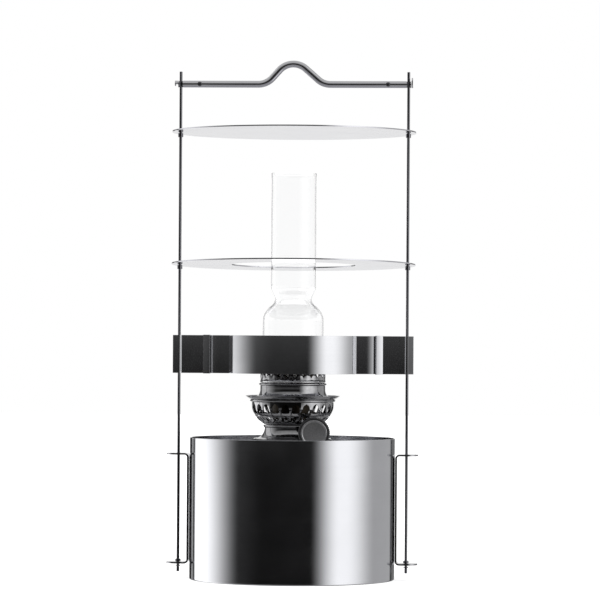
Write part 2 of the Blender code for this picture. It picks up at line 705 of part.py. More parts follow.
def chimney_outer():
    """Outer outline of the glass, foot to mouth: bulb, shoulder, waist, tube."""
    shoulder = [(25.0, 208.0), (24.9, 213.6), (24.3, 217.0), (22.5, 220.4), (18.9, 224.5)]
    waist = [(16.4, 226.6), (15.0, 229.2), (15.1, 231.8), (16.2, 234.7), (17.8, 237.7)]
    waist.append((CHIMNEY_TUBE_R, 241.5))
    foot, mouth = (CHIMNEY_FOOT_R, GALLERY_LEDGE + GAP), (CHIMNEY_TUBE_R, CHIMNEY_TOP)
    return [foot] + shoulder + waist + [mouth]


def make_chimney():
    outer = chimney_outer()
    inner = []
    for i, (radius, height) in enumerate(outer):
        before = Vector(outer[max(i - 1, 0)])
        after = Vector(outer[min(i + 1, len(outer) - 1)])
        forward = (after - before).normalized()
        inner.append((radius - forward.y * CHIMNEY_WALL, height + forward.x * CHIMNEY_WALL))
    inner[0] = (inner[0][0], outer[0][1])
    inner[-1] = (inner[-1][0], outer[-1][1])
    turned("chimney", outer + list(reversed(inner)), "glass")


# ------------------------------------------------------------------ assembly

def build_lamp():
    clear_objects()
    make_tank()
    make_neck()
    for side, label in SIDES:
        make_bracket(side, label)
        make_rod(side, label)
        make_bar_end(side, label)
        make_ear_sleeve(side, label)
    make_bar()
    make_caps()
    make_discs()
    make_half_band("shade_front_band", -1)
    make_half_band("shade_back_band", 1)
    make_burner_base()
    make_basket()
    make_gallery()
    make_wick_tubes()
    make_wick()
    make_winder()
    make_chimney()


build_lamp()
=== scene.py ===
"""Studio view of an open hanging oil lamp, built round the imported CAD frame.

Lengths are millimetres until a mesh is made. Places come from the CAD nodes' boxes, +Z is up, and -Y is the
front, where the wick knob is. Each piece stands for one CAD node and rides on that node's body. The sprocket
keeps its CAD mesh, and the plate across the basket's foot has no node of its own.
"""
import json
import math

import bmesh
import bpy
from mathutils import Matrix, Vector
from mathutils.geometry import delaunay_2d_cdt

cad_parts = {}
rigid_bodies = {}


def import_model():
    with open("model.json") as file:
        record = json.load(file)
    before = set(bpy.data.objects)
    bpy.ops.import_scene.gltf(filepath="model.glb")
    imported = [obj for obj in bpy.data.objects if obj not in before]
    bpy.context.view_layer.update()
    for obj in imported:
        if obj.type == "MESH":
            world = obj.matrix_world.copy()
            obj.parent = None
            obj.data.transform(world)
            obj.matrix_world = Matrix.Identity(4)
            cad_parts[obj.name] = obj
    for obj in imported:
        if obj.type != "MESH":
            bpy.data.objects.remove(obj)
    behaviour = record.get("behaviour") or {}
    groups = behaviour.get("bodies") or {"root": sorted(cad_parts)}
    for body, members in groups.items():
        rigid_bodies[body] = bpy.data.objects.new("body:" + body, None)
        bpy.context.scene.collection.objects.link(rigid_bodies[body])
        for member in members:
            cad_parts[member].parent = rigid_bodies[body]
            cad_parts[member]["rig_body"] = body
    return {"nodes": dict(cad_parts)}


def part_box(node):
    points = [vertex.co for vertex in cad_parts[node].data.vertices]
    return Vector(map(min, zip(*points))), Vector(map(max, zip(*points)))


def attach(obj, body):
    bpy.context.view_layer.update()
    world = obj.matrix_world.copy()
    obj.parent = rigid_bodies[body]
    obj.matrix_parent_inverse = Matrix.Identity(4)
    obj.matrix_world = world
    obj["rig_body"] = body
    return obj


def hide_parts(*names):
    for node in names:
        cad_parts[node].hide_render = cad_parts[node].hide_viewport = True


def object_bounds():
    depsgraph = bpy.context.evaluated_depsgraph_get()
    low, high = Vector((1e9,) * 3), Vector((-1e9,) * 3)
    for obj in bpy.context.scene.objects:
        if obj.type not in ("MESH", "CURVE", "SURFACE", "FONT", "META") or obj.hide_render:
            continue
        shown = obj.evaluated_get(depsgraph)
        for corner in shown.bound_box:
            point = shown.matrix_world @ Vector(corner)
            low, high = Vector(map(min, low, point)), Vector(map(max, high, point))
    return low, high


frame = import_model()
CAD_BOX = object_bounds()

MM = 0.001
SIDES = ((-1, "left"), (1, "right"))
FRONT = (0, -1, 0)

# Facets round a full turn
WIDE = 192
MANY = 128
ROUND = 96
SMALL = 32

# Camera
CAMERA_DISTANCE = 2.884
CAMERA_HEIGHT = 0.2
CAMERA_AZIMUTH = math.radians(3.0)
CAMERA_YAW = math.radians(-0.109)
CAMERA_PITCH = math.radians(0.59)
CAMERA_ROLL = math.radians(0.36)
CAMERA_LENS = 210.0

# The studio is only seen in reflections. Elevations and directions are in degrees.
# Panels round the lamp, by direction about the vertical from straight behind it, positive to the right: where
# a panel starts, is full from, is full to and ends, and its brightness below and above PANEL_SPLIT
PANELS = (
    (-123, -61, -46, -40, 1.80, 0.95),
    (-153, -105, -46, -40, 0.03, 0.06),
    (-38, -35, -31, -27, 0.40, 0.40),
    (71, 115, 122, 157, 0.92, 0.92),
    (30, 36, 122, 157, 0.50, 0.50),
    (14, 18, 25, 28, 0.20, 0.20),
    (-20, -13, 7, 14, 0.88, 0.97),
)
PANEL_SPLIT = (-1.6, -0.7)          # elevations between which the lower studio passes into the upper
STUDIO_DARK = (0.007, 0.018)        # brightness of the unlit gaps, below and above the split
HORIZON = (-0.4, 0.6, 1.0, 3.0)     # elevations where a grey band starts, is full from, is full to and ends
HORIZON_GREY = 0.08
ROOM_RISE = (14.0, 32.0)            # elevations, up or down, between which the room beyond comes in
ROOM_GREY = 0.42
# Height of a direction, with straight up as 1, where a glow starts and is full, and its brightness
OVERHEAD = (0.55, 0.85, 0.62)
UNDERFOOT = (-0.5, -0.8, 0.26)

ROD_HOLE_R = 1.6                    # holes that the rods pass through
SHEET_EDGE = 0.12                   # rounding of a sheet's edges
SHAFT_HOLE_R = 1.3                  # holes that the wick shaft passes through
TUBE_BORE = 17.5                    # radius of the wick tube's hole in the burner's base and basket
BURNER_REPEATS = 24                 # times the pattern of windows goes round the burner
SHARP_FROM = math.radians(35)       # an edge is drawn sharp when it turns by more


# ------------------------------------------------------------------ outlines

def arc(centre, radius, start, end, steps):
    """Points along an arc, angles in degrees."""
    points = []
    for i in range(steps + 1):
        angle = math.radians(start + (end - start) * i / steps)
        points.append((centre[0] + radius * math.cos(angle), centre[1] + radius * math.sin(angle)))
    return points


def rounded(outline, radius, closed=True, steps=3):
    """The outline with its corners rounded, except those that hardly turn."""
    points = []
    for point in map(Vector, outline):
        if not points or (point - points[-1]).length > 1e-4:
            points.append(point)
    smooth_turn = math.radians(16)
    result = []
    for i, here in enumerate(points):
        into = here - points[i - 1]
        onward = points[(i + 1) % len(points)] - here
        is_end = not closed and i in (0, len(points) - 1)
        if is_end or into.angle(onward) < smooth_turn:
            result.append(here)
            continue
        reach = radius * math.tan(into.angle(onward) / 2)
        reach = min(reach, 0.45 * into.length, 0.45 * onward.length)
        start = here - into.normalized() * reach
        end = here + onward.normalized() * reach
        for k in range(steps + 1):
            t = k / steps
            result.append(start * (1 - t) ** 2 + here * 2 * t * (1 - t) + end * t ** 2)
    return result


def smooth_curve(points, steps):
    """A smooth curve through the points, with a number of steps between each pair."""
    points = [Vector(point) for point in points]
    padded = [2 * points[0] - points[1]] + points + [2 * points[-1] - points[-2]]
    result = []
    for a, b, c, d in zip(padded, padded[1:], padded[2:], padded[3:]):
        for k in range(steps):
            t = k / steps
            bend = (a * -1 + b * 3 + c * -3 + d) * t ** 3 + (a * 2 + b * -5 + c * 4 + d * -1) * t ** 2
            result.append((bend + (c - a) * t + b * 2) / 2)
    return result + [points[-1]]


def offset(points, distance):
    """The open outline moved to its left by a distance."""
    moved = []
    for i, here in enumerate(points):
        here = Vector(here)
        forward = (Vector(points[min(i + 1, len(points) - 1)]) - Vector(points[max(i - 1, 0)])).normalized()
        moved.append(here + Vector((-forward.y, forward.x)) * distance)
    return moved


def rectangle(near, far, low, high):
    """Corners of a rectangle, which makes a plain ring or rod when it is spun."""
    return [(near, low), (far, low), (far, high), (near, high)]


# ------------------------------------------------------------------ meshes

def bridge(bm, ring, following):
    """Faces between two closed rings of points. They are triangles where a ring has shrunk to one point."""
    for k in range(len(ring)):
        after = (k + 1) % len(ring)
        corners = dict.fromkeys((ring[k], ring[after], following[after], following[k]))
        if len(corners) > 2:
            bm.faces.new(list(corners))


def lathe(outline, steps=ROUND, closed=True, wobble=None):
    """Spin (radius, height) points round the vertical axis.

    wobble(angle, radius, height) gives a new radius.
    """
    bm = bmesh.new()
    rings = []
    for radius, height in outline:
        if radius < 1e-6:
            rings.append([bm.verts.new((0, 0, height))] * steps)
            continue
        ring = []
        for k in range(steps):
            angle = 2 * math.pi * k / steps
            reach = wobble(angle, radius, height) if wobble else radius
            ring.append(bm.verts.new((reach * math.cos(angle), reach * math.sin(angle), height)))
        rings.append(ring)
    if closed:
        rings.append(rings[0])
    for ring, following in zip(rings, rings[1:]):
        bridge(bm, ring, following)
    return bm


def lay_along(bm, direction, at=(0, 0, 0)):
    """Turn a vertical shape to lie along a direction, and move it."""
    turn = Vector((0, 0, 1)).rotation_difference(Vector(direction)).to_matrix().to_4x4()
    bm.transform(Matrix.Translation(at) @ turn)
    return bm


def strip(path, thickness, spans, to_point):
    """A bent sheet. Its section is carried along a path, between the two heights given for each point."""
    bm = bmesh.new()
    far_side = offset(path, thickness)
    sections = []
    for near, far, (low, high) in zip(path, far_side, spans):
        corners = ((near, low), (far, low), (far, high), (near, high))
        sections.append([bm.verts.new(to_point(Vector(point), height)) for point, height in corners])
    for section, following in zip(sections, sections[1:]):
        bridge(bm, section, following)
    bm.faces.new(sections[0])
    bm.faces.new(sections[-1])
    return bm


def sweep(bm, path, radius):
    """Carry a circle along a path in the XZ plane, and return its first and last ring."""
    rings = []
    for i, (x, z) in enumerate(path):
        before, after = path[max(i - 1, 0)], path[min(i + 1, len(path) - 1)]
        forward = Vector((after[0] - before[0], after[1] - before[1])).normalized()
        ring = []
        for k in range(SMALL):
            angle = 2 * math.pi * k / SMALL
            lift = radius * math.cos(angle)
            ring.append(bm.verts.new((x - forward.y * lift, radius * math.sin(angle), z + forward.x * lift)))
        rings.append(ring)
    for ring, following in zip(rings, rings[1:]):
        bridge(bm, ring, following)
    return rings[0], rings[-1]


def plate(outline, low, high, to_point):
    """A flat plate with a given outline, between two levels."""
    bm = bmesh.new()
    foot = [bm.verts.new(to_point(point, low)) for point in outline]
    head = [bm.verts.new(to_point(point, high)) for point in outline]
    bm.faces.new(foot)
    bm.faces.new(head)
    bridge(bm, foot, head)
    return bm


def block(size, centre):
    """A solid with square corners."""
    bm = bmesh.new()
    bmesh.ops.create_cube(bm, size=1.0)
    bm.transform(Matrix.Translation(centre) @ Matrix.Diagonal((*size, 1)))
    return bm


def inside(point, outline):
    """True if a flat point lies within a closed outline."""
    hit = False
    for (ax, ay), (bx, by) in zip(outline, outline[1:] + outline[:1]):
        if (ay > point[1]) != (by > point[1]):
            hit ^= point[0] < (bx - ax) * (point[1] - ay) / (by - ay) + ax
    return hit


def pierced(profile, repeats, windows, pitch, relief):
    """A turned sheet with a repeated pattern of windows.

    Windows are outlines of (share of one repeat, distance up the profile). relief(share, distance) raises the
    surface outward. The sheet has no thickness yet.
    """
    lengths = [0.0]
    for a, b in zip(profile, profile[1:]):
        lengths.append(lengths[-1] + (Vector(b) - Vector(a)).length)
    total = lengths[-1]
    columns, rows = 6, max(2, round(total / pitch))
    wide = columns * pitch

    def surface(distance):
        distance = min(max(distance, 0.0), total)
        i = max(k for k in range(len(lengths) - 1) if lengths[k] <= distance)
        t = (distance - lengths[i]) / (lengths[i + 1] - lengths[i])
        return Vector(profile[i]).lerp(Vector(profile[i + 1]), t)

    across = columns + 1
    flat = []
    for j in range(rows + 1):
        flat += [Vector((wide * i / columns, total * j / rows)) for i in range(across)]
    edges = []
    for j in range(rows):
        edges += [(j * across + i, (j + 1) * across + i) for i in (0, columns)]
    for i in range(columns):
        edges += [(j * across + i, j * across + i + 1) for j in (0, rows)]
    holes = [[(share * wide, distance) for share, distance in window] for window in windows]
    for hole in holes:
        first = len(flat)
        flat += [Vector(point) for point in hole]
        edges += [(first + k, first + (k + 1) % len(hole)) for k in range(len(hole))]
    points, _, faces, *_ = delaunay_2d_cdt(flat, edges, [], 0, 1e-4)

    kept = []
    for face in faces:
        centre = sum((points[k] for k in face), Vector((0, 0))) / len(face)
        if not any(inside(centre, hole) for hole in holes):
            kept.append(face)
    bm = bmesh.new()
    for tile in range(repeats):
        placed = []
        for point in points:
            share = point.x / wide
            angle = 2 * math.pi * (tile + share) / repeats
            radius, height = surface(point.y)
            radius += relief(share, point.y)
            placed.append(bm.verts.new((radius * math.cos(angle), radius * math.sin(angle), height)))
        for face in kept:
            bm.faces.new([placed[k] for k in face])
    bmesh.ops.remove_doubles(bm, verts=bm.verts[:], dist=1e-3)
    loose = [vert for vert in bm.verts if not vert.link_faces]
    bmesh.ops.delete(bm, geom=loose, context="VERTS")
    return bm


# ------------------------------------------------------------------ pieces

def mesh_object(name, bm):
    """An object from a mesh in millimetres."""
    bmesh.ops.recalc_face_normals(bm, faces=bm.faces[:])
    bm.transform(Matrix.Scale(MM, 4))
    mesh = bpy.data.meshes.new(name)
    bm.to_mesh(mesh)
    bm.free()
    made = bpy.data.objects.new(name, mesh)
    smooth_faces(made)
    bpy.context.scene.collection.objects.link(made)
    return made


def smooth_faces(made):
    """Smooth shading, but for edges that turn sharply."""
    made.data.shade_smooth()
    made.data.set_sharp_from_angle(angle=SHARP_FROM)


def bake(made):
    """Put what the piece's modifiers make in place of its mesh."""
    graph = bpy.context.evaluated_depsgraph_get()
    made.data = bpy.data.meshes.new_from_object(made.evaluated_get(graph), depsgraph=graph)
    made.modifiers.clear()


def cut_away(made, bm):
    """Take a solid out of a piece."""
    tool = mesh_object("tool", bm)
    cut = made.modifiers.new("cut", "BOOLEAN")
    cut.solver = "EXACT"
    cut.object = tool
    bake(made)
    smooth_faces(made)
    bpy.data.objects.remove(tool, do_unlink=True)


def drill(made, at, radius, direction=(0, 0, 1), reach=600.0):
    """Take out a round hole that goes as far as reach both ways."""
    bm = lathe(rectangle(0, radius, -reach, reach), SMALL, closed=False)
    cut_away(made, lay_along(bm, direction, at))


def soften(made, width=SHEET_EDGE, segments=2):
    """Break the piece's sharp edges."""
    bevel = made.modifiers.new("edge", "BEVEL")
    bevel.width = width * MM
    bevel.segments = segments
    bevel.limit_method = "ANGLE"
    bevel.angle_limit = math.radians(40)
    bake(made)
    smooth_faces(made)


def thicken(made, wall):
    """Give a sheet its wall, inward from the surface."""
    solid = made.modifiers.new("wall", "SOLIDIFY")
    solid.thickness = wall * MM
    solid.offset = -1.0
    bake(made)
    smooth_faces(made)


def weight_normals(made):
    """Keep straight faces straight beside their narrow rounded edges."""
    made.modifiers.new("normals", "WEIGHTED_NORMAL").keep_sharp = True
    bake(made)


def paint(made, slot):
    """Give a piece its finish slot and the material of that slot."""
    made.data.materials.clear()
    made.data.materials.append(MATERIALS[slot])


def finish_piece(made, node, slot):
    """The piece stands for its CAD node, rides on that node's body, and takes the slot's material."""
    weight_normals(made)
    paint(made, slot)
    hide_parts(node)
    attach(made, frame["nodes"][node]["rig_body"])


def turned_piece(
    node, outline, slot, steps=ROUND, closed=True, at=(0, 0, 0), along=(0, 0, 1), edge=0.2, wobble=None
):
    """A piece turned from an outline with rounded edges, and laid along a direction."""
    bm = lathe(rounded(outline, edge, closed), steps, closed, wobble)
    made = mesh_object(node + "_finish", lay_along(bm, along, at))
    finish_piece(made, node, slot)


def span(node):
    """Lowest and highest corner of a CAD node, in millimetres."""
    low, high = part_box(node)
    return low / MM, high / MM


def middle(node):
    """Middle of a CAD node's box, in millimetres."""
    low, high = span(node)
    return (low + high) / 2


ROD_X = middle("rod_right").x


# ------------------------------------------------------------------ materials

def add_node(tree, kind, inputs=None, **settings):
    """Make a shader node. Inputs are values or the sockets that feed them."""
    made = tree.nodes.new("ShaderNode" + kind)
    for key, value in settings.items():
        setattr(made, key, value)
    for key, value in (inputs or {}).items():
        if isinstance(value, bpy.types.NodeSocket):
            tree.links.new(value, made.inputs[key])
        else:
            made.inputs[key].default_value = value
    return made


def new_material(name):
    made = bpy.data.materials.new(name)
    made.use_nodes = True
    return made, made.node_tree, made.node_tree.nodes["Principled BSDF"]


def noise_over(tree, vector, detail=2.0):
    return add_node(tree, "TexNoise", {"Vector": vector, "Scale": 1.0, "Detail": detail}).outputs["Fac"]


def noise(tree, stretch, detail=2.0):
    """Noise over the object's own coordinates, with its frequency per metre along X, Y and Z."""
    place = add_node(tree, "TexCoord")
    mapped = add_node(tree, "Mapping", {"Vector": place.outputs["Object"], "Scale": stretch})
    return noise_over(tree, mapped.outputs[0], detail)


def radial_noise(tree, along, across):
    """Noise in rings about the vertical axis: slow round a ring, fast from ring to ring."""
    place = add_node(tree, "TexCoord")
    parts = add_node(tree, "SeparateXYZ", {"Vector": place.outputs["Object"]})
    flat = add_node(tree, "CombineXYZ", {"X": parts.outputs["X"], "Y": parts.outputs["Y"]})
    radius = add_node(tree, "VectorMath", {0: flat.outputs[0]}, operation="LENGTH")
    heading = add_node(tree, "VectorMath", {0: flat.outputs[0]}, operation="NORMALIZE")
    spread = add_node(tree, "VectorMath", {0: heading.outputs[0], "Scale": along}, operation="SCALE")
    rise = add_node(tree, "Math", {0: radius.outputs["Value"], 1: across}, operation="MULTIPLY")
    lift = add_node(tree, "CombineXYZ", {"Z": rise.outputs[0]})
    mapped = add_node(tree, "VectorMath", {0: spread.outputs[0], 1: lift.outputs[0]}, operation="ADD")
    return noise_over(tree, mapped.outputs[0])


def ranged(tree, value, low, high, start=0.25, end=0.75, ease="LINEAR"):
    """Runs from low to high as a value goes from start to end, and stays level outside that."""
    inputs = {"Value": value, "From Min": start, "From Max": end, "To Min": low, "To Max": high}
    return add_node(tree, "MapRange", inputs, interpolation_type=ease).outputs["Result"]


def tinted(tree, value, dark, light):
    """Colour that runs from dark to light as a noise value rises."""
    share = ranged(tree, value, 0.0, 1.0, 0.3, 0.7)
    made = add_node(tree, "Mix", {0: share}, data_type="RGBA")
    made.inputs[6].default_value = (*dark, 1.0)
    made.inputs[7].default_value = (*light, 1.0)
    return made.outputs[2]


def bump(tree, height, depth):
    """Normal from a height between 0 and 1, with its depth in millimetres."""
    made = add_node(tree, "Bump", {"Height": height, "Distance": depth * MM})
    return made.outputs["Normal"]


def connect(tree, shader, colour, roughness, normal):
    tree.links.new(colour, shader.inputs["Base Color"])
    tree.links.new(roughness, shader.inputs["Roughness"])
    tree.links.new(normal, shader.inputs["Normal"])


def metal(name, colour, roughness, grain, grain_depth, shade, stretch=0.0):
    """Worked metal: a fine grain in its tint, gloss and relief, and soft smudges from handling.

    grain is the frequency per metre along X, Y and Z or, with two values, along and across rings. shade is
    the share of the colour that its darkest lines have. stretch draws highlights out across the grain.
    """
    made, tree, shader = new_material(name)
    lines = radial_noise(tree, *grain) if len(grain) == 2 else noise(tree, grain)
    patches = noise(tree, (35, 35, 35), detail=4.0)
    dull = tuple(channel * shade for channel in colour)
    grey = tinted(tree, lines, dull, colour)
    worn = ranged(tree, patches, 0.94, 1.0)
    tint = add_node(tree, "Mix", {0: 1.0, 6: grey, 7: worn}, data_type="RGBA", blend_type="MULTIPLY")
    fine = ranged(tree, lines, roughness * 0.85, roughness * 1.1)
    dirt = ranged(tree, patches, -0.02, 0.035)
    rough = add_node(tree, "Math", {0: fine, 1: dirt}, operation="ADD", use_clamp=True)
    connect(tree, shader, tint.outputs[2], rough.outputs[0], bump(tree, lines, grain_depth))
    shader.inputs["Metallic"].default_value = 1.0
    if stretch:
        shader.inputs["Anisotropic"].default_value = stretch
        shader.inputs["Anisotropic Rotation"].default_value = 0.25
        way = add_node(tree, "Tangent", direction_type="RADIAL", axis="Z")
        tree.links.new(way.outputs[0], shader.inputs["Tangent"])
    return made


def knob_material():
    """Moulded plastic: fine pores, and a tint that drifts a little."""
    made, tree, shader = new_material("moulded_black")
    pores = noise(tree, (900, 900, 900), detail=3.0)
    colour = tinted(tree, noise(tree, (60, 60, 60)), (0.010, 0.010, 0.011), (0.020, 0.020, 0.022))
    connect(tree, shader, colour, ranged(tree, pores, 0.34, 0.5), bump(tree, pores, 0.02))
    return made


def rubber_material():
    made, tree, shader = new_material("gasket_rubber")
    pores = noise(tree, (1500, 1500, 1500), detail=3.0)
    colour = tinted(tree, pores, (0.014, 0.014, 0.014), (0.034, 0.033, 0.032))
    connect(tree, shader, colour, ranged(tree, pores, 0.7, 0.9), bump(tree, pores, 0.03))
    return made


def cotton_material():
    """Woven wick: fine crossed threads, scorched where the wick stands above its tube."""
    made, tree, shader = new_material("wick_cotton")
    place = add_node(tree, "TexCoord")
    thread_scale = 110.0
    scorch_deep, scorch_full = 0.004, 0.0005
    waves = []
    for turn in (0.7, -0.7):
        mapped = add_node(tree, "Mapping", {"Vector": place.outputs["Object"], "Rotation": (0, 0, turn)})
        inputs = {"Vector": mapped.outputs[0], "Scale": thread_scale, "Distortion": 0.6}
        waves.append(add_node(tree, "TexWave", inputs, bands_direction="DIAGONAL").outputs["Fac"])
    weave = add_node(tree, "Math", {0: waves[0], 1: waves[1]}, operation="MULTIPLY")
    height = add_node(tree, "SeparateXYZ", {"Vector": place.outputs["Object"]}).outputs["Z"]
    top = span("wick")[1].z * MM
    char = ranged(tree, height, 0.0, 1.0, top - scorch_deep, top - scorch_full)
    plain = tinted(tree, weave.outputs[0], (0.52, 0.48, 0.40), (0.80, 0.77, 0.69))
    burnt = add_node(tree, "Mix", {0: char, 6: plain}, data_type="RGBA")
    burnt.inputs[7].default_value = (0.035, 0.028, 0.022, 1.0)
    tree.links.new(burnt.outputs[2], shader.inputs["Base Color"])
    tree.links.new(bump(tree, weave.outputs[0], 0.15), shader.inputs["Normal"])
    shader.inputs["Roughness"].default_value = 0.95
    return made


def glass_material():
    """Clear glass with a faint uneven film and slow waves from blowing."""
    made, tree, shader = new_material("chimney_glass")
    film = noise(tree, (25, 25, 60), detail=3.0)
    colour = tinted(tree, film, (0.99, 0.992, 0.994), (1.0, 1.0, 1.0))
    connect(tree, shader, colour, ranged(tree, film, 0.0, 0.03), bump(tree, noise(tree, (45, 45, 20)), 0.05))
    shader.inputs["Transmission Weight"].default_value = 1.0
    shader.inputs["IOR"].default_value = 1.47
    return made


def make_materials():
    """One material for each finish slot."""
    round_the_tank = (14, 14, 5200)
    metals = {
        "tank_steel": ((0.655, 0.66, 0.685), 0.095, round_the_tank, 0.0012, 0.96, 0.3),
        "lid_steel": ((0.80, 0.80, 0.81), 0.30, (6, 2600), 0.006, 0.9, 0.6),
        "collar_steel": ((0.56, 0.56, 0.57), 0.06, (30, 30, 4200), 0.004, 0.9),
        "bracket_steel": ((0.36, 0.36, 0.375), 0.14, (40, 3600, 40), 0.0012, 0.92),
        "rod_steel": ((0.22, 0.22, 0.235), 0.12, (900, 900, 60), 0.0008, 0.92),
        "bar_steel": ((0.68, 0.68, 0.70), 0.10, (60, 900, 900), 0.0008, 0.94),
        "pin_steel": ((0.22, 0.22, 0.23), 0.30, (1200, 1200, 1200), 0.006, 0.7),
        "disc_steel": ((0.65, 0.65, 0.69), 0.12, (14, 4200, 14), 0.001, 0.96),
        "shade_steel": ((0.655, 0.66, 0.68), 0.075, round_the_tank, 0.0008, 0.96, 0.2),
        "burner_chrome": ((0.42, 0.42, 0.43), 0.02, (420, 420, 420), 0.0025, 0.82),
        "tube_brass": ((0.045, 0.037, 0.028), 0.45, (500, 500, 60), 0.006, 0.7),
        "winder_steel": ((0.55, 0.55, 0.56), 0.20, (60, 2400, 60), 0.005, 0.8),
        "knob_face_metal": ((0.60, 0.60, 0.61), 0.42, (900, 900, 900), 0.010, 0.8),
    }
    made = {name: metal(name, *look) for name, look in metals.items()}
    made["knob_black"] = knob_material()
    made["gasket_rubber"] = rubber_material()
    made["wick_cotton"] = cotton_material()
    made["chimney_glass"] = glass_material()
    return made


MATERIALS = make_materials()


# ------------------------------------------------------------------ camera, light and floor

def make_camera():
    data = bpy.data.cameras.new("camera")
    data.lens = CAMERA_LENS
    data.sensor_width = 36.0
    data.clip_start, data.clip_end = 0.05, 50.0
    camera = bpy.data.objects.new("camera", data)
    spot = Vector((math.sin(CAMERA_AZIMUTH), -math.cos(CAMERA_AZIMUTH), 0)) * CAMERA_DISTANCE
    spot.z = CAMERA_HEIGHT
    heading = Matrix.Rotation(CAMERA_AZIMUTH + CAMERA_YAW, 4, "Z")
    upright = Matrix.Rotation(math.radians(90) + CAMERA_PITCH, 4, "X")
    camera.matrix_world = Matrix.Translation(spot) @ heading @ upright @ Matrix.Rotation(CAMERA_ROLL, 4, "Z")
    bpy.context.scene.collection.objects.link(camera)
    bpy.context.scene.camera = camera
    bpy.context.scene.view_settings.view_transform = "Standard"


def eased(tree, value, start, end, low, high):
    """Like ranged, but it starts and stops softly."""
    return ranged(tree, value, low, high, start, end, ease="SMOOTHSTEP")


def add_band(tree, glow, value, edges, brightness):
    """Add a soft-edged band: edges are the values where it starts, is full from, is full to and ends."""
    start, full_from, full_to, end = edges
    rise = eased(tree, value, start, full_from, 0.0, 1.0)
    fall = eased(tree, value, full_to, end, 1.0, 0.0)
    share = add_node(tree, "Math", {0: rise, 1: fall}, operation="MULTIPLY").outputs[0]
    lit = add_node(tree, "Math", {0: share, 1: brightness, 2: glow}, operation="MULTIPLY_ADD")
    return lit.outputs[0]


def sines(angles):
    return [math.sin(math.radians(angle)) for angle in angles]


def make_studio():
    """White surroundings, except in reflections, which see soft panels with dark gaps between them."""
    world = bpy.data.worlds.new("studio")
    bpy.context.scene.world = world
    world.use_nodes = True
    tree = world.node_tree
    tree.nodes.clear()
    place = add_node(tree, "TexCoord")
    way = add_node(tree, "SeparateXYZ", {"Vector": place.outputs["Generated"]})
    angle = add_node(tree, "Math", {0: way.outputs["X"], 1: way.outputs["Y"]}, operation="ARCTAN2")
    degrees = add_node(tree, "Math", {0: angle.outputs[0]}, operation="DEGREES").outputs[0]
    height = way.outputs["Z"]
    split = sines(PANEL_SPLIT)
    glow = eased(tree, height, *split, *STUDIO_DARK)
    glow = add_band(tree, glow, height, sines(HORIZON), HORIZON_GREY)
    for *edges, below, above in PANELS:
        glow = add_band(tree, glow, degrees, edges, eased(tree, height, *split, below, above))
    steep = add_node(tree, "Math", {0: height}, operation="ABSOLUTE").outputs[0]
    room = eased(tree, steep, *sines(ROOM_RISE), 0.0, ROOM_GREY)
    glow = add_node(tree, "Math", {0: glow, 1: room}, operation="MAXIMUM").outputs[0]
    for start, end, brightness in (OVERHEAD, UNDERFOOT):
        share = eased(tree, height, start, end, 0.0, 1.0)
        blend = add_node(tree, "Mix", {0: share, 2: glow, 3: brightness}, data_type="FLOAT")
        glow = blend.outputs[0]
    reflected = add_node(tree, "Background", {"Color": glow})
    white = add_node(tree, "Background", {"Color": (1, 1, 1, 1), "Strength": 1.0})
    ray = add_node(tree, "LightPath")
    opaque = add_node(tree, "Math", {0: 1.0, 1: ray.outputs["Is Transmission Ray"]}, operation="SUBTRACT")
    glossy = ray.outputs["Is Glossy Ray"]
    share = add_node(tree, "Math", {0: glossy, 1: opaque.outputs[0]}, operation="MULTIPLY")
    mixed = add_node(tree, "MixShader", {0: share.outputs[0], 1: white.outputs[0], 2: reflected.outputs[0]})
    output = add_node(tree, "OutputWorld")
    tree.links.new(mixed.outputs[0], output.inputs["Surface"])


def make_light():
    """A large soft light above the camera's left."""
    data = bpy.data.lights.new("softbox", "AREA")
    data.shape = "RECTANGLE"
    data.size, data.size_y = 1.2, 0.8
    data.energy = 12.0
    light = bpy.data.objects.new("softbox", data)
    light.location = (-1.3, -1.4, 1.6)
    light.rotation_euler = (Vector((0, 0, 0.2)) - light.location).to_track_quat("-Z", "Y").to_euler()
    light.visible_glossy = False
    bpy.context.scene.collection.objects.link(light)


def make_floor():
    """A pale floor just under the lamp, which reflections don't see."""
    made, tree, shader = new_material("pale_floor")
    mottle = noise(tree, (6, 6, 6))
    tree.links.new(tinted(tree, mottle, (0.86, 0.86, 0.86), (0.9, 0.9, 0.9)), shader.inputs["Base Color"])
    shader.inputs["Roughness"].default_value = 0.9
    shader.inputs["Specular IOR Level"].default_value = 0.0
    shader.inputs["Emission Color"].default_value = (1, 1, 1, 1)
    shader.inputs["Emission Strength"].default_value = 0.55
    reach = 6000.0
    clearance = 0.2
    bm = bmesh.new()
    bmesh.ops.create_circle(bm, cap_ends=True, segments=ROUND, radius=reach)
    bmesh.ops.translate(bm, verts=bm.verts[:], vec=(0, 0, CAD_BOX[0].z / MM - clearance))
    floor = mesh_object("floor", bm)
    floor.data.materials.append(made)
    floor.visible_glossy = False


# ------------------------------------------------------------------ tank

def make_tank():
    """Open shell with a rounded lower edge and a floor raised inside a foot ring."""
    low, high = span("tank_shell")
    outer, top = high.x, high.z
    wall, edge = 1.0, 1.05
    foot_r, slope_r, dish = 74.0, 71.0, 1.2
    outline = [(0, low.z + dish), (slope_r, low.z + dish), (foot_r, low.z)]
    outline += arc((outer - edge, edge), edge, -90, 0, 8)
    outline += [(outer, top), (outer - wall, top)]
    outline += arc((outer - edge, edge), edge - wall, 0, -90, 8)
    outline += [(foot_r, wall), (slope_r, wall + dish), (0, wall + dish)]
    turned_piece("tank_shell", outline, "tank_steel", WIDE, closed=False, edge=0.35)


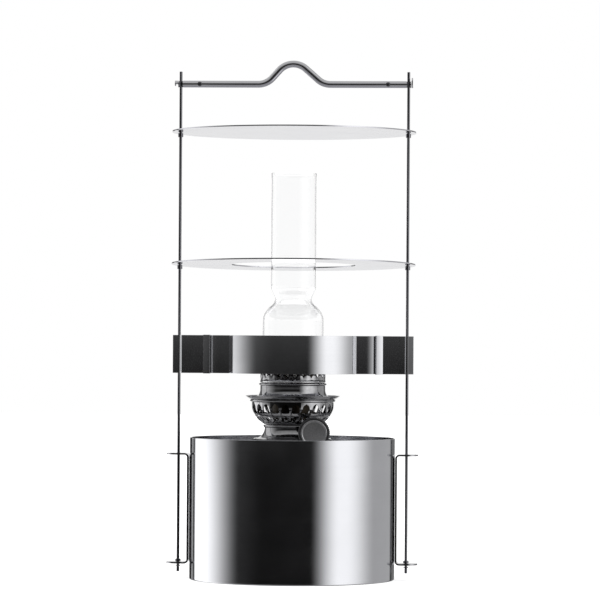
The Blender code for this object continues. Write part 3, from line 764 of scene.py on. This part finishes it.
def make_lid():
    """Reservoir lid: a sheet with a hole for the neck, a low ridge near its edge and a turned-down rim."""
    low, high = span("reservoir_lid")
    rim, top = high.x, high.z
    sheet, skirt, hole_r = 1.0, 0.8, 21.0
    ridge_r, ridge_wide, ridge_high = 70.0, 2.4, 0.6
    ridge = arc((0, 0), 1.0, 180, 0, 8)
    outline = [(hole_r, top - sheet), (hole_r, top)]
    outline += [(ridge_r + ridge_wide * across, top + ridge_high * rise) for across, rise in ridge]
    outline += [(rim, top), (rim, low.z), (rim - skirt, low.z), (rim - skirt, top - sheet)]
    turned_piece("reservoir_lid", outline, "lid_steel", WIDE, edge=0.6)


def make_neck():
    """The collar that the burner screws into, and its gasket."""
    low, high = span("neck_collar")
    bore, tube_r, flange_r, boss_r = 19.3, 20.7, high.x, 23.5
    flange = span("reservoir_lid")[1].z + 0.3
    outline = [(bore, low.z), (tube_r, low.z), (tube_r, flange), (flange_r, flange)]
    outline += [(flange_r, flange + 1.4), (boss_r + 0.6, flange + 2.2), (boss_r, flange + 3.0)]
    outline += [(boss_r, high.z), (bore, high.z)]
    turned_piece("neck_collar", outline, "collar_steel")
    low, high = span("collar_gasket")
    ring = rectangle(bore + 0.3, high.x, low.z, high.z)
    turned_piece("collar_gasket", ring, "gasket_rubber", edge=0.45)


# ------------------------------------------------------------------ uprights

def make_bracket(side, label):
    """Bent strip with a round-ended tab at each end, fixed to the tank by its web."""
    node = f"bracket_{label}"
    low, high = span(node)
    wide, thick, bend = high.y, 1.4, 3.4
    bend_x = min(abs(low.x), abs(high.x)) + bend
    tab = arc((ROD_X, 0), wide, 90, 2, 14)
    web = arc((bend_x, high.z - bend), bend, 90, 180, 6) + arc((bend_x, low.z + bend), bend, 180, 270, 6)
    stations = [(x, high.z, half) for x, half in reversed(tab)]
    stations += [(x, z, wide) for x, z in web]
    stations += [(x, low.z, half) for x, half in tab]

    def place(point, across):
        return (side * point.x, across, point.y)

    path = [(x, z) for x, z, _ in stations]
    bm = strip(path, thick, [(-half, half) for *_, half in stations], place)
    made = mesh_object(node + "_finish", bm)
    drill(made, (side * ROD_X, 0, 0), ROD_HOLE_R)
    soften(made, 0.2)
    finish_piece(made, node, "bracket_steel")


def make_rod(side, label):
    """A rod with a groove for its clip, and the four rings on it."""
    low, high = span(f"rod_{label}")
    centre = (side * ROD_X, 0, 0)
    radius = (high.x - low.x) / 2
    clip_low, clip_high = (corner.z for corner in span(f"rod_clip_{label}"))
    neck_r, clearance = radius - 0.4, 0.3
    groove_low, groove_high = clip_low - clearance, clip_high + clearance
    outline = [(0, low.z), (radius, low.z), (radius, groove_low), (neck_r, groove_low)]
    outline += [(neck_r, groove_high), (radius, groove_high), (radius, high.z), (0, high.z)]
    turned_piece(f"rod_{label}", outline, "rod_steel", SMALL, closed=False, at=centre, edge=0.45)
    for kind in ("rod_clip", "rod_collar", "shield_stop", "reflector_stop"):
        node = f"{kind}_{label}"
        inner = neck_r if kind == "rod_clip" else radius
        low, high = span(node)
        ring = rectangle(inner + clearance, (high.x - low.x) / 2, low.z, high.z)
        turned_piece(node, ring, "rod_steel", SMALL, at=centre, edge=0.3)


# ------------------------------------------------------------------ carrying bar

def half_bar_path(side, reach, base, rise):
    """Axis of one half of the bar, from the middle of the hump's crown to the end."""
    bend, lean, steps = 15.5, -1.1, 16
    flank = 48.0 if side < 0 else 41.5
    slope = math.radians(flank)
    run, lift = bend * math.sin(slope), bend * (1 - math.cos(slope))
    half = 2 * run + (rise - 2 * lift) / math.tan(slope)
    path = arc((0, base + rise - bend), bend, 90, 90 - flank, steps)
    path += arc((half, base + bend), bend, 270 - flank, 270, steps)
    path = [(lean + side * x, z) for x, z in path]
    return path + [(side * x, base) for x in (40, 60, reach - 3, reach)]


def make_bar():
    """Bent tube with a notch for each rod, open to the front, and a hole for each rivet."""
    low, high = span("handle_bar")
    radius, bore = 2.9, 2.1
    base = low.z + radius
    left, right = (half_bar_path(side, high.x, base, high.z - radius - base) for side, _ in SIDES)
    path = list(reversed(left[1:])) + right
    bm = bmesh.new()
    outer_ends = sweep(bm, path, radius)
    inner_ends = sweep(bm, path, bore)
    for outer, inner in zip(outer_ends, inner_ends):
        bridge(bm, outer, inner)
    made = mesh_object("handle_bar_finish", bm)
    notch, pin_hole_r, past = 1.6, 1.85, 10.0
    for side, label in SIDES:
        cut_away(made, block((2 * notch, past + notch, past), (side * ROD_X, (notch - past) / 2, base)))
        drill(made, middle(f"handle_pin_{label}"), pin_hole_r, (0, 1, 0), past)
    soften(made, 0.15)
    finish_piece(made, "handle_bar", "bar_steel")


def make_bar_end(side, label):
    """The plug in the bar's end and the rivet that holds it."""
    pin = middle(f"handle_pin_{label}")
    low, high = span(f"handle_plug_{label}")
    plug_r, shank_r = 1.8, 0.7
    near, far = sorted((abs(low.x), abs(high.x)))
    plug, rivet = f"handle_plug_{label}", f"handle_pin_{label}"
    outline = rectangle(0, plug_r, near, far)
    turned_piece(plug, outline, "bar_steel", SMALL, False, at=(0, 0, pin.z), along=(side, 0, 0), edge=0.3)

    low, high = span(rivet)
    head, head_r, under = high.y, (high.x - low.x) / 2, plug_r + 0.25
    dome = [(0, head), (head_r * 0.6, head - 0.08), (head_r, head - 0.3), (head_r, under), (shank_r, under)]
    outline = dome + [(radius, -height) for radius, height in reversed(dome)]
    turned_piece(rivet, outline, "pin_steel", SMALL, False, at=pin, along=FRONT, edge=0.15)


def make_caps():
    """A plate with a lug that points up at the right end of the bar, and a hood at the left end."""
    axis = middle("handle_pin_left").z

    def across_bar(point, x):
        return (x, point[0], axis + point[1])

    low, high = span("handle_cap_right")
    half = (high.y - low.y) / 2
    lug = high.z - low.z - 2 * half
    rim = arc((0, 0), half, 180, 360, 14) + arc((0, lug), half, 0, 180, 14)
    made = mesh_object("handle_cap_right_finish", plate(rim, low.x, high.x, across_bar))
    soften(made, 0.25, 3)
    finish_piece(made, "handle_cap_right", "bar_steel")

    low, high = span("handle_cap_left")
    wall, past = 0.9, 2 * half
    turn = math.degrees(math.asin((axis - low.z) / half))
    rim = arc((0, 0), half, -turn, 180 + turn, 24)
    made = mesh_object("handle_cap_left_finish", plate(rim, low.x, high.x, across_bar))
    hollow = arc((0, 0), half - wall, 0, 180, 20) + [(-past, 0), (-past, -past), (past, -past), (past, 0)]
    cut_away(made, plate(hollow, low.x + wall, high.x + wall, across_bar))
    soften(made, 0.2)
    finish_piece(made, "handle_cap_left", "bar_steel")


# ------------------------------------------------------------------ discs

def make_disc(node, inner=0.0, tilt=0.0):
    """Sheet disc with rolled edges, and a central hole unless inner is 0."""
    low, high = span(node)
    half_thick, has_hole = 0.5, inner > 0
    section = rounded(rectangle(inner, high.x, -half_thick, half_thick), 0.14, has_hole)
    bm = lathe(section, WIDE, has_hole)
    bm.transform(Matrix.Translation((0, 0, (low.z + high.z) / 2)) @ Matrix.Rotation(tilt, 4, "X"))
    made = mesh_object(node + "_finish", bm)
    for side, _ in SIDES:
        drill(made, (side * ROD_X, 0, 0), ROD_HOLE_R)
    finish_piece(made, node, "disc_steel")


# ------------------------------------------------------------------ shade

def half_band_path(depth, tip, seam):
    """Inner face of one half of the shade in plan, from its right ear to its left: a bow between two ears."""
    bow_r, fillet, seat = 59.5, 1.5, 1.5
    flank, stand, meet_x, meet_steps = 51.0, 3.2, 67.6, 16
    bow_y = depth - bow_r
    bend_x, bend_y = flank + fillet, seam + stand + fillet
    corner_x = flank - fillet
    corner_rise = math.sqrt((bow_r - fillet) ** 2 - corner_x ** 2)
    meet = math.degrees(math.atan2(corner_rise, corner_x))
    right = [(tip, seam)]
    right += arc((ROD_X, 0), seat, 62, 140, 10)
    right += [(ROD_X - 2.4, seam), (ROD_X - 12, seam), (meet_x + 3, seam)]
    for k in range(meet_steps):
        share = 1 - k / meet_steps
        right.append((bend_x + (meet_x - bend_x) * share, seam + stand * (1 - share * share)))
    right += arc((bend_x, bend_y), fillet, 270, 180, 10)
    right += arc((corner_x, bow_y + corner_rise), fillet, 0, meet, 10)
    right += arc((0, bow_y), bow_r, meet + 2, 90, 48)
    return right + [(-x, y) for x, y in reversed(right[:-1])]


def make_half_band(node, facing):
    """One half of the shade. facing is -1 for the front half and 1 for the back one."""
    low, high = span(node)
    wall, tip = 0.7, high.x - 0.18
    seam, outer = sorted((abs(low.y), abs(high.y)))
    path = list(reversed(half_band_path(outer - wall, tip, seam)))
    bm = strip(path, wall, [(low.z, high.z)] * len(path), lambda point, z: (point.x, facing * point.y, z))
    made = mesh_object(node + "_finish", bm)
    soften(made)
    finish_piece(made, node, "shade_steel")


def make_ear_sleeve(side, label):
    """Flat tube over both ears, with faces that taper away from the glass."""
    node = f"ear_sleeve_{label}"
    low, high = span(node)
    near, far = sorted((abs(low.x), abs(high.x)))
    ridge = high.y
    slot_half, slot_low, slot_high = 1.15, low.z + 0.7, high.z - 0.7
    foot, top = low.z + 0.45, high.z - 0.45
    slope = [(near, ridge - 0.9), (near + 0.7, ridge), (near + 3.4, 2.9), (far, 1.5)]
    bm = bmesh.new()
    sections = []
    for x, half in rounded(slope, 0.5, closed=False):
        outer = rectangle(-half, half, foot, top)
        slot = rectangle(-slot_half, slot_half, slot_low, slot_high)
        sections.append([[bm.verts.new((side * x, y, z)) for y, z in loop] for loop in (outer, slot)])
    for section, following in zip(sections, sections[1:]):
        for loop, next_loop in zip(section, following):
            bridge(bm, loop, next_loop)
    for outer, slot in (sections[0], sections[-1]):
        bridge(bm, outer, slot)
    made = mesh_object(node + "_finish", bm)
    soften(made)
    finish_piece(made, node, "shade_steel")


# ------------------------------------------------------------------ burner

def make_burner_base():
    """Foot, flared waist and screw spigot, with a hole at the front for the shaft."""
    low, high = span("burner_base")
    spigot_r, outer, wall = 19.0, high.x, 0.7
    floor = span("collar_gasket")[1].z + 0.3
    flare_x, flare_z, flare_r = 32.2, 124.6, 9.2
    bead_r, waist_r, inner_r = 1.0, 22.3, 31.0
    outline = [(spigot_r, floor), (outer, floor), (outer, floor + 3.4), (outer - 0.6, floor + 4.0)]
    outline += arc((flare_x, flare_z), flare_r, 250, 180, 16)
    outline += arc((waist_r + 0.8, high.z - bead_r), bead_r, -70, 90, 8)
    outline += [(waist_r, high.z), (waist_r, flare_z)]
    outline += arc((flare_x, flare_z), flare_r + wall, 180, 246, 12)
    outline += [(inner_r, 114.6), (inner_r, floor + 1), (TUBE_BORE, floor + 1)]
    outline += [(TUBE_BORE, low.z), (spigot_r, low.z)]
    made = mesh_object("burner_base_finish", lathe(rounded(outline, 0.25)))
    shaft = middle("wick_shaft")
    hole_end, reach = -4.0, 13.0
    drill(made, (shaft.x, hole_end - reach, shaft.z), SHAFT_HOLE_R, (0, 1, 0), reach)
    finish_piece(made, "burner_base", "burner_chrome")


def leaf(centre, low, high, half, steps=6):
    """Leaf-shaped window, with its middle and half width given as shares of one repeat."""
    outline = []
    for k in range(2 * steps):
        t = k / steps if k < steps else 2 - k / steps
        spread = half * math.sin(math.pi * t) ** 0.8
        outline.append((centre + (spread if k < steps else -spread), low + (high - low) * t))
    return outline


def arch(centre, low, high, half, steps=5):
    """Pointed arched window with rounded feet, its middle and half width given as shares of one repeat."""
    foot = 0.6
    right = [(centre + half * 0.55, low)]
    for k in range(steps + 1):
        t = k / steps
        spread = math.cos(math.pi / 2 * t) ** 0.4
        right.append((centre + half * spread, low + foot + (high - low - foot) * t))
    left = [(2 * centre - x, y) for x, y in reversed(right[:-1])]
    return right + left


def ridge(distance, at, wide):
    """A smooth rise from 0 to 1 and back, as the distance passes a place."""
    return math.exp(-((distance - at) / wide) ** 2)


def make_basket():
    """Bowl pierced with arches over a bead and leaves between and below them, and a plate across its foot."""
    low, high = span("burner_basket")
    wall, pitch = 0.7, 1.1
    bowl = [(23.6, low.z), (25.6, 129.0), (27.6, 130.9), (30.4, 134.0), (32.4, 137.6), (33.5, 142.4)]
    bowl = smooth_curve(bowl + [(high.x, high.z)], 4)
    windows = [
        arch(0.5, 12.4, 20.6, 0.41),
        leaf(0.0, 10.8, 14.2, 0.12),
        leaf(0.0, 3.0, 8.9, 0.27),
        leaf(0.5, 5.2, 9.1, 0.18),
    ]

    def relief(share, distance):
        bead = 0.45 * ridge(distance, 9.9, 0.55)
        swell = 0.5 * ridge(distance, 5.8, 2.6) + 0.3 * ridge(distance, 16.5, 3.0)
        return bead + swell * math.cos(2 * math.pi * share)

    made = mesh_object("burner_basket_finish", pierced(bowl, BURNER_REPEATS, windows, pitch, relief))
    thicken(made, wall)
    finish_piece(made, "burner_basket", "burner_chrome")

    floor = rounded(rectangle(TUBE_BORE, 22.7, low.z, low.z + wall), 0.15)
    made = mesh_object("burner_basket_floor", lathe(floor))
    paint(made, "burner_chrome")
    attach(made, "burner")


def make_gallery():
    """Turned flange with a raised lip, a neck and a ledge for the chimney."""
    low, high = span("gallery_flange")
    lip = high.x
    ledge, ledge_r = 156.5, 22.0
    outline = [(33.4, low.z), (34.7, low.z)]
    outline += arc((34.6, 146.9), 0.7, -80, 80, 8)
    outline += [(34.3, 147.7), (35.4, 148.1), (36.9, 149.0), (38.2, 150.0), (lip, 150.8), (lip - 0.3, 151.0)]
    outline += [(37.5, 150.2), (36.2, 149.4), (34.8, 149.1), (31.5, 149.8), (28.9, 150.9)]
    outline += [(28.0, 151.8), (27.3, 153.1), (26.9, 154.8), (26.8, 156.4), (26.8, 159.2)]
    outline += arc((27.1, 160.4), 0.8, -80, 80, 8)
    outline += [(26.6, high.z), (25.7, high.z), (25.7, ledge), (ledge_r, ledge), (ledge_r, ledge - 0.9)]
    outline += [(25.6, ledge - 0.9), (26.2, 153.0), (27.8, 149.9), (33.0, 148.4)]
    turned_piece("gallery_flange", outline, "burner_chrome", MANY, edge=0.15)


def make_crown():
    """Ring of prongs that grip the chimney."""
    low, high = span("gallery_crown")
    wall, pitch = 0.6, 0.9
    foot, tall, outer = low.z, high.z - low.z, high.x
    profile = [(outer, foot), (outer, foot + 3.3), (outer - 0.3, foot + 9), (outer - 0.5, high.z)]
    notch = [(0.5, 3.3), (0.72, 5.6), (0.80, 9.0), (0.76, tall - 2.5), (0.70, tall)]
    notch += [(1 - x, y) for x, y in reversed(notch[1:])]

    def relief(share, distance):
        bead = 0.35 * ridge(distance, 0.8, 0.5)
        swell = 0.25 * ridge(distance, 6.0, 3.0)
        return bead + swell * math.cos(2 * math.pi * share) - 0.25

    crown = pierced(smooth_curve(profile, 5), BURNER_REPEATS, [notch], pitch, relief)
    made = mesh_object("gallery_crown_finish", crown)
    thicken(made, wall)
    finish_piece(made, "gallery_crown", "burner_chrome")


def make_tubes():
    """The two tubes on either side of the wick. The outer one has a window for the sprocket."""
    wall, window = 0.6, (6.0, 4.4, 7.0)
    for node in ("wick_tube_outer", "draught_tube_inner"):
        low, high = span(node)
        ring = rectangle(high.x - wall, high.x, low.z, high.z)
        made = mesh_object(node + "_finish", lathe(rounded(ring, 0.25)))
        if node == "wick_tube_outer":
            cut_away(made, block(window, (high.x, 0, middle("wick_sprocket").z)))
        finish_piece(made, node, "tube_brass")


def make_wick():
    low, high = span("wick")
    inner, fray, strands, levels = 14.6, 0.12, 60, 40

    def frayed(angle, radius, height):
        return radius + fray * math.sin(strands * angle) * math.sin(height * 1.7)

    ring = [(inner, low.z)]
    ring += [(high.x, low.z + (high.z - low.z) * k / levels) for k in range(levels + 1)]
    ring += [(inner, high.z)]
    turned_piece("wick", ring, "wick_cotton", 4 * strands, edge=0.35, wobble=frayed)


def on_shaft(node, outline, slot, **options):
    """A piece turned about the wick shaft, from points of (radius, distance forward of the lamp's axis)."""
    axis = middle("wick_shaft")
    turned_piece(node, outline, slot, at=(axis.x, 0, axis.z), along=FRONT, **options)


def shaft_span(node):
    """Radius, back and front of a CAD node on the wick shaft."""
    low, high = span(node)
    return (high.x - low.x) / 2, -high.y, -low.y


def make_shaft():
    """The wick shaft, its hexagonal gland nut and the finish of its sprocket."""
    radius, back, front = shaft_span("wick_shaft")
    on_shaft("wick_shaft", rectangle(0, radius, back, front), "winder_steel", steps=SMALL, closed=False)

    corner_r, back, front = shaft_span("shaft_gland_nut")
    sixth, chamfer, run = math.pi / 3, 0.45, 0.5

    def hexagon(angle, reach, height):
        across = (angle + sixth / 2) % sixth - sixth / 2
        flat = corner_r * math.cos(sixth / 2) / math.cos(across)
        return min(reach, flat) if reach > 2 else reach

    nut = [(SHAFT_HOLE_R, back), (corner_r - chamfer, back), (corner_r, back + run), (corner_r, front - run)]
    nut += [(corner_r - chamfer, front), (SHAFT_HOLE_R, front)]
    on_shaft("shaft_gland_nut", nut, "winder_steel", edge=0.1, wobble=hexagon)
    paint(frame["nodes"]["wick_sprocket"], "tube_brass")


def make_knob():
    """The knob with its knurled rim, and the metal face set into it."""
    rim, back, face = shaft_span("wick_knob")
    teeth, tooth, steps_a_tooth = 48, 0.35, 8
    seat_r, depth = 11.0, 1.2

    def knurled(angle, reach, height):
        if reach < rim - 1.2:
            return reach
        return reach - tooth * (0.5 - 0.5 * math.cos(teeth * angle)) ** 2

    knob = [(SHAFT_HOLE_R, back), (rim - 2.4, back), (rim - 0.5, back + 0.8), (rim, back + 1.4)]
    knob += [(rim, face - 1.2), (rim - 0.4, face - 0.4), (rim - 1.1, face)]
    knob += [(seat_r, face), (seat_r, face - depth), (SHAFT_HOLE_R, face - depth)]
    on_shaft("wick_knob", knob, "knob_black", steps=teeth * steps_a_tooth, edge=0.25, wobble=knurled)

    rim, back, face = shaft_span("knob_face")
    disc = [(0, back), (rim, back), (rim, face - 0.2), (rim - 0.4, face), (rim - 1.0, face)]
    disc += [(rim - 1.5, face - 0.45), (rim - 2.2, face - 0.5), (0, face - 0.35)]
    on_shaft("knob_face", disc, "knob_face_metal", closed=False, edge=0.2)


# ------------------------------------------------------------------ chimney

def make_chimney():
    """Blown glass: bulb, shoulder, waist and tube, with both ends fire-polished."""
    low, high = span("chimney")
    wall, lip = 1.2, 0.35
    bulb_r, tube_r = 25.0, 18.4
    outer = [(24.9, low.z), (24.95, low.z + 6)]
    outer += [(bulb_r, height) for height in (174, 188, 198, 204, 208, 211)]
    outer += [(24.95, 213.6), (24.5, 216.3), (23.7, 218.4), (22.5, 220.4), (20.9, 222.5), (18.9, 224.5)]
    outer += [(16.9, 226.3), (15.5, 228.2), (14.9, 230.0), (15.1, 231.8), (15.8, 233.7), (16.8, 235.6)]
    outer += [(17.8, 237.7), (18.3, 240.0)]
    outer += [(tube_r, height) for height in (243, 247, 253, 263, 283, 310, high.z)]
    outer = smooth_curve(outer, 6)
    inner = offset(outer, wall)
    inner[0].y, inner[-1].y = outer[0].y, outer[-1].y
    outer[-1].x += lip

    def blown(angle, radius, height):
        oval = 0.05 * math.sin(2 * angle + height * 0.03)
        return radius + oval + 0.03 * math.sin(3 * angle - height * 0.11)

    turned_piece("chimney", outer + list(reversed(inner)), "chimney_glass", MANY, edge=0.5, wobble=blown)


def build():
    make_camera()
    make_studio()
    make_light()
    make_floor()
    make_tank()
    make_lid()
    make_neck()
    for side, label in SIDES:
        make_bracket(side, label)
        make_rod(side, label)
        make_bar_end(side, label)
        make_ear_sleeve(side, label)
    make_bar()
    make_caps()
    make_disc("heat_shield_disc")
    make_disc("reflector_disc", inner=51.0, tilt=math.radians(-1.6))
    make_half_band("shade_front_band", -1)
    make_half_band("shade_back_band", 1)
    make_burner_base()
    make_basket()
    make_gallery()
    make_crown()
    make_tubes()
    make_wick()
    make_shaft()
    make_knob()
    make_chimney()


build()
